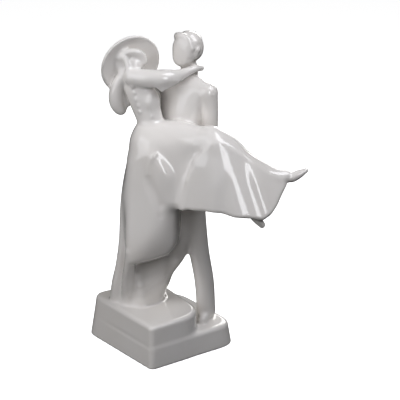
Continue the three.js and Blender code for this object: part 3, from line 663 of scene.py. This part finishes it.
def hem():
    """The foot of the gown: a soft wedge whose ridge faces the viewer."""
    outline = [(-38, 36, 4), (1, 36, 4), (4, 66, 10), (6, 92, 6), (-26, 98, 6), (-34, 66, 10)]
    ridge_top, ridge_foot = (-23, -26, 94), (-16, -17, 42)
    planes = [[(-43, 7, 42), ridge_top, ridge_foot], [ridge_foot, ridge_top, (0, -2, 42)]]
    return drape(outline, planes, thick=12, soft=7, rounding=6)


def lap():
    thighs = [(*PELVIS, 18.5), (22, -19, 202.5, 17), (46, -30, 206, 13)]
    far_shin = [(48, -32, 206, 13.2), (60, -32, 202.5, 11), (73, -32, 192, 8.6), (88, -31, 183, 7),
                (102, -31, 177, 5.2), (113, -31, 175.5, 4.2)]
    return join(limb(thighs), (limb(far_shin), 6))


def curtain():
    """The cloth that falls from her knees and flares a little to the hem."""
    outline = [(20, 147, 2), (41, 148.6, 12), (55, 148, 12), (66, 144.8, 10), (81, 143.6, 8),
               (92, 141, 2.5), (99, 145.6, 10), (105, 152.5, 12), (109.5, 161, 12), (113.5, 168, 3),
               (111, 176, 3), (98, 182, 8), (75, 199, 10), (54, 213, 8), (45, 210, 6), (31, 195, 10),
               (24, 175, 20)]
    ridge_top, ridge_foot = (48, -49, 212), (73, -61, 144)
    planes = [[(20, -46, 150), ridge_top, ridge_foot], [ridge_foot, ridge_top, (112, -38, 170)]]
    pleats = [
        ((50, 200), (48, 147), 1.4, 9),
        ((76, 206), (98, 148), 3, 8),
        ((58, 190), (60, 146), -1.2, 7),
    ]
    return drape(outline, planes, thick=7, soft=9, rounding=3.5, pleats=pleats)


def panel():
    """The cloth over her hip, from the long fold to the curtain."""
    outline = [(-18, 192, 8), (-4, 149, 4), (23, 146, 2), (30, 180, 20), (44, 208, 8), (30, 213, 8),
               (8, 215, 8), (-14, 206, 8)]
    lower = [(-10, -36.5, 180), (2, -41, 150), (42, -45, 204)]
    upper = [(-18, -26, 205), (12, -29, 219), (12, -41, 190)]
    return drape(outline, [lower, upper], thick=22, soft=24, rounding=8)


def shoes():
    far = [(113, -31, 175.5, 4), (117, -31, 173.5, 4.4), (124, -31, 176.6, 3.8), (130, -31, 180, 2.2)]
    near = [(83, -50, 146, 4), (87.5, -48, 140, 3.9), (91.5, -47, 135, 3)]
    return join(limb(far), (limb(near), 2))


def gown_strokes():
    """Creases and soft ridges pressed into the cloth: points, width and depth."""
    return [
        ([(-13, -45, 186), (-7, -42, 170), (-2.6, -43, 161.5), (1.7, -44, 152)], 4, 2.6),
        ([(1, -44.5, 153), (2.5, -44, 141)], 2, 2.5),
        ([(48, -55, 213), (37, -48, 201), (30, -46, 193), (25.6, -46, 173.5), (22, -49, 150)], 7, 1.8),
        ([(11, -43, 210), (1.3, -42, 202), (-7.6, -38, 187), (-8.5, -39, 179)], 1.8, -1.1),
        ([(-20, -21, 63), (-10, -15, 66), (3, -9, 70)], 2.4, -1),
        ([(-18, -19, 54), (-8, -12, 58), (4, -5, 63)], 2.4, -1),
    ]


def gown():
    cloth = join(
        gown_trunk(),
        (hem(), 6),
        (lap(), 10),
        (curtain(), 6),
        (hip(), 8),
        (panel(), 8),
        (tongue(), 7),
        (gown_train(), 2.5),
        (shoes(), 2),
    )
    return stroked(cloth, *gown_strokes())


def figure():
    return join(plinth(), (man(), 2.5), (woman(), 2.5), (gown(), 3))


# The skin: where the field is zero, as four-sided faces

BLOCK = 4  # grid steps along one side of a block
NEAR_BLOCK = 1.6  # a block may hold skin if its middle is fewer blocks than this from the skin
BATCHES = 8  # the samples are worked out in turns, to save memory
SLOPE_PROBE = 0.25
RELAX_ROUNDS = 3
RELAX_SHARE = 0.7


def grid(counts):
    """Every place in a box of whole numbers, one row each."""
    return np.stack(np.meshgrid(*map(np.arange, counts), indexing="ij"), -1).reshape(-1, 3)


def sample(form):
    """Values on a grid around the form. Only the blocks near the skin are worked out in full."""
    low = form.low - 2 * PITCH
    blocks = np.ceil((form.high + 2 * PITCH - low) / (PITCH * BLOCK)).astype(int)
    value = np.full(blocks * BLOCK + 1, np.inf)
    index = grid(blocks)
    middle = form.at(low + (index + 0.5) * BLOCK * PITCH)
    near = np.abs(middle) < NEAR_BLOCK * BLOCK * PITCH
    for i, j, k in index[~near & (middle < 0)] * BLOCK:
        value[i:i + BLOCK + 1, j:j + BLOCK + 1, k:k + BLOCK + 1] = -1
    places = (index[near][:, None] * BLOCK + grid([BLOCK + 1] * 3)).reshape(-1, 3)
    wanted = np.zeros(value.shape, bool)
    wanted[tuple(places.T)] = True
    batches = np.array_split(np.argwhere(wanted), BATCHES)
    value[wanted] = np.concatenate([form.at(low + batch * PITCH) for batch in batches])
    return value, low


def crossings(value, axis):
    """Where the skin crosses the grid edges along one axis, and the ring of cells round each."""
    cells = np.array(value.shape) - 1
    lower = np.moveaxis(value, axis, 0)[:-1]
    upper = np.moveaxis(value, axis, 0)[1:]
    found = np.argwhere((lower < 0) != (upper < 0))
    a, b = lower[tuple(found.T)], upper[tuple(found.T)]
    share = np.where(np.isfinite(a) & np.isfinite(b), a / (a - b), 0.5)
    place = np.empty((len(found), 3))
    others = [n for n in range(3) if n != axis]
    place[:, axis] = found[:, 0] + share
    place[:, others] = found[:, 1:]
    first, second = (axis + 1) % 3, (axis + 2) % 3
    ring = []
    for down_first, down_second in ((1, 1), (0, 1), (0, 0), (1, 0)):
        cell = place.copy()
        cell[:, axis] = found[:, 0]
        cell[:, first] -= down_first
        cell[:, second] -= down_second
        ring.append(np.ravel_multi_index(cell.astype(int).T, cells, mode="clip"))
    ring = np.stack(ring, 1)
    ring[b < 0] = ring[b < 0][:, ::-1]
    return place, ring


def net(value, low):
    """One point in each cell that the skin crosses, and one face over each grid edge it crosses."""
    found = [crossings(value, axis) for axis in range(3)]
    place = np.concatenate([places for places, _ in found])
    ring = np.concatenate([rings for _, rings in found])
    cells, corner = np.unique(ring, return_inverse=True)
    faces = corner.reshape(ring.shape)
    count = np.bincount(faces.ravel(), minlength=len(cells))
    sums = [np.bincount(faces.ravel(), np.repeat(place[:, n], 4), len(cells)) for n in range(3)]
    return np.stack(sums, 1) / count[:, None] * PITCH + low, faces


def slope_at(form, p):
    """The field and its slope at some points, from four samples around each."""
    corners = np.array([(1, 1, 1), (1, -1, -1), (-1, 1, -1), (-1, -1, 1)], float)
    values = np.array([form.at(p + corner * SLOPE_PROBE) for corner in corners])
    return values.mean(0), values.T @ corners / (4 * SLOPE_PROBE)


def settle(form, p):
    """Moves points onto the skin, along the steepest way, and gives the skin's direction there."""
    here, slope = slope_at(form, p)
    steep = np.maximum((slope * slope).sum(1), 1e-6)
    move = np.clip(here / steep, -PITCH, PITCH)
    return p - slope * move[:, None], slope / np.sqrt(steep)[:, None]


def neighbour_mean(p, edges):
    ends = np.concatenate([edges, edges[:, ::-1]])
    count = np.bincount(ends[:, 0], minlength=len(p))[:, None]
    sums = [np.bincount(ends[:, 0], p[ends[:, 1], n], len(p)) for n in range(3)]
    return np.stack(sums, 1) / count


def skin(form):
    """Points and faces of the skin. The points are spread evenly along it in a few rounds."""
    points, faces = net(*sample(form))
    sides = np.concatenate([faces[:, [0, 1]], faces[:, [1, 2]], faces[:, [2, 3]], faces[:, [3, 0]]])
    edges = np.unique(np.sort(sides, 1), axis=0)
    points, normals = settle(form, points)
    for _ in range(RELAX_ROUNDS):
        pull = neighbour_mean(points, edges) - points
        pull -= normals * (pull * normals).sum(1)[:, None]
        points, normals = settle(form, points + RELAX_SHARE * pull)
    return points, faces


def mesh_object(name, points, faces):
    mesh = bpy.data.meshes.new(name)
    mesh.from_pydata((points * MM).tolist(), [], faces.tolist())
    mesh.shade_smooth()
    made = bpy.data.objects.new(name, mesh)
    bpy.context.collection.objects.link(made)
    return made


# The glaze

GLAZE_IOR = 1.5
COAT_WEIGHT = 0.6
COAT_ROUGHNESS = 0.03
CLOUDS = (14, 3)  # scale and detail of each noise
GLOSS = (90, 4)
WAVES = (38, 1)
WARM_TINT = (0.3, (0.80, 0.765, 0.725, 1))  # place in the clouds, and colour
PALE_TINT = (0.7, (0.835, 0.81, 0.785, 1))
ROUGHNESS = (0.09, 0.16)  # lowest and highest
WAVE_STRENGTH = 0.22
WAVE_HEIGHT = 0.6 * MM


def noise(nodes, scale, detail):
    made = nodes.new("ShaderNodeTexNoise")
    made.inputs["Scale"].default_value = scale
    made.inputs["Detail"].default_value = detail
    return made


def glaze_material():
    """White glaze: faint clouds of tint, a gloss that varies a little, and a skin that isn't quite
    even, so that highlights waver as they do on a hand-finished casting."""
    material = bpy.data.materials.new("white_glaze")
    material.use_nodes = True
    nodes, links = material.node_tree.nodes, material.node_tree.links
    shader = nodes["Principled BSDF"]
    shader.inputs["Coat Weight"].default_value = COAT_WEIGHT
    shader.inputs["Coat Roughness"].default_value = COAT_ROUGHNESS
    shader.inputs["IOR"].default_value = GLAZE_IOR

    place = nodes.new("ShaderNodeTexCoord")
    clouds, gloss, waves = (noise(nodes, *size) for size in (CLOUDS, GLOSS, WAVES))
    for texture in (clouds, gloss, waves):
        links.new(place.outputs["Object"], texture.inputs["Vector"])

    tint = nodes.new("ShaderNodeValToRGB")
    for element, (position, colour) in zip(tint.color_ramp.elements, (WARM_TINT, PALE_TINT)):
        element.position = position
        element.color = colour
    links.new(clouds.outputs["Fac"], tint.inputs["Fac"])
    links.new(tint.outputs["Color"], shader.inputs["Base Color"])

    roughness = nodes.new("ShaderNodeMapRange")
    roughness.inputs["To Min"].default_value, roughness.inputs["To Max"].default_value = ROUGHNESS
    links.new(gloss.outputs["Fac"], roughness.inputs["Value"])
    links.new(roughness.outputs["Result"], shader.inputs["Roughness"])

    uneven = nodes.new("ShaderNodeBump")
    uneven.inputs["Strength"].default_value = WAVE_STRENGTH
    uneven.inputs["Distance"].default_value = WAVE_HEIGHT
    links.new(waves.outputs["Fac"], uneven.inputs["Height"])
    links.new(uneven.outputs["Normal"], shader.inputs["Normal"])
    links.new(uneven.outputs["Normal"], shader.inputs["Coat Normal"])
    return material


def figurine():
    points, faces = skin(figure())
    piece = mesh_object("figurine_glazed", points, faces)
    piece.data.materials.append(glaze_material())
    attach(piece, "root")
    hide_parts("figurine")


# The studio: lengths in metres

CAMERA_TARGET = Vector((37, -24, 150)) * MM
CAMERA_DISTANCE = 1.1
CAMERA_ELEVATION = math.radians(19.5)
CAMERA_LENS = 110.9
CAMERA_SENSOR = 36
LIGHT_AIM = (0.03, -0.02)  # every lamp points at this x and y, at a height of its own
WHITE = (1, 1, 1, 1)
COOL = (0.95, 0.96, 1)
WARM = (1, 0.985, 0.96)
FLOOR_RADIUS = 40
FLOOR_SIDES = 96
FLOOR_GREY = (0.9, 0.9, 0.9, 1)
FLOOR_ROUGHNESS = 0.9
FLOOR_GLOW = 0.96


def camera():
    data = bpy.data.cameras.new("camera")
    data.lens = CAMERA_LENS
    data.sensor_width = CAMERA_SENSOR
    made = bpy.data.objects.new("camera", data)
    bpy.context.collection.objects.link(made)
    look = Vector((0, math.cos(CAMERA_ELEVATION), -math.sin(CAMERA_ELEVATION)))
    made.location = CAMERA_TARGET - look * CAMERA_DISTANCE
    made.rotation_euler = look.to_track_quat("-Z", "Y").to_euler()
    bpy.context.scene.camera = made


def softbox(name, place, aim_height, size, power, tint, diffuse=True, glossy=True):
    """A lamp with a square or oblong face. It may leave out the shading or the highlights."""
    data = bpy.data.lights.new(name, "AREA")
    data.shape = "RECTANGLE"
    data.size, data.size_y = size
    data.energy = power
    data.color = tint
    made = bpy.data.objects.new(name, data)
    bpy.context.collection.objects.link(made)
    made.location = place
    made.visible_diffuse = diffuse
    made.visible_glossy = glossy
    aim = Vector((*LIGHT_AIM, aim_height)) - Vector(place)
    made.rotation_euler = aim.to_track_quat("-Z", "Y").to_euler()


def lamps():
    softbox("key", (0.46, -0.24, 0.9), 0.16, (0.6, 0.6), 5.2, COOL)
    softbox("back", (0.35, 0.9, 0.6), 0.16, (0.6, 0.6), 4, WARM)
    softbox("left", (-0.46, -0.36, 0.42), 0.18, (0.6, 0.6), 1.7, COOL)
    softbox("low", (-0.68, -0.5, 0.28), 0.14, (0.9, 0.9), 1.5, WARM, glossy=False)
    softbox("front", (0.05, -0.7, 0.6), 0.2, (0.5, 0.5), 1.5, COOL, glossy=False)
    softbox("strip", (0.34, -0.83, 0.42), 0.2, (0.22, 0.5), 1.7, COOL, diffuse=False)


def floor():
    """A pale floor that the camera sees, and that doesn't light the figurine or show in its glaze."""
    bpy.ops.mesh.primitive_circle_add(vertices=FLOOR_SIDES, radius=FLOOR_RADIUS, fill_type="NGON")
    made = bpy.context.object
    made.name = "floor"
    material = bpy.data.materials.new("pale_floor")
    material.use_nodes = True
    shader = material.node_tree.nodes["Principled BSDF"]
    shader.inputs["Base Color"].default_value = FLOOR_GREY
    shader.inputs["Roughness"].default_value = FLOOR_ROUGHNESS
    shader.inputs["Emission Color"].default_value = WHITE
    shader.inputs["Emission Strength"].default_value = FLOOR_GLOW
    made.data.materials.append(material)
    made.visible_diffuse = False
    made.visible_glossy = False


def surroundings():
    """A white background that the camera sees, and that lights nothing."""
    world = bpy.data.worlds.new("studio")
    bpy.context.scene.world = world
    world.use_nodes = True
    world.node_tree.nodes["Background"].inputs["Color"].default_value = WHITE
    world.cycles_visibility.diffuse = False
    world.cycles_visibility.glossy = False
    bpy.context.scene.view_settings.view_transform = "Standard"


figurine()
floor()
surroundings()
lamps()
camera()
